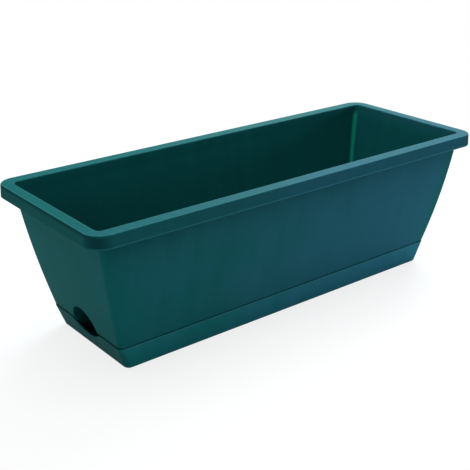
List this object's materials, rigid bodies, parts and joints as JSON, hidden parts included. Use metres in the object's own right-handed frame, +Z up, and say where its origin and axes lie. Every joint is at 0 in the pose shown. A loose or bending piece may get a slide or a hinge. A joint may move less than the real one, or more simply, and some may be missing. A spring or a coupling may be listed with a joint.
{
  "type": "rectangular planter",
  "caption": "Long rectangular plastic planter: a trough with a turned-down rim and bowed tapering walls, standing in a shallow lift-off water tray with a fill opening at the end.",
  "frame": {"origin": "on the ground, under the middle of the planter", "axes": "+X along the length of the trough, +Y across it, +Z up"},
  "size_m": [0.5, 0.189, 0.1564],
  "materials": {
    "trough_plastic": "injection-moulded dark teal green polypropylene, satin",
    "tray_plastic": "injection-moulded dark teal green polypropylene, satin"
  },
  "bodies": {
    "tray": {"drip_tray": "tray_plastic"},
    "planter": {"trough": "trough_plastic"}
  },
  "joints": [
    {"name": "trough_lift", "type": "slide", "parent": "tray", "child": "planter", "axis": [0, 0, 1], "range_m": [0, 0.06]}
  ]
}
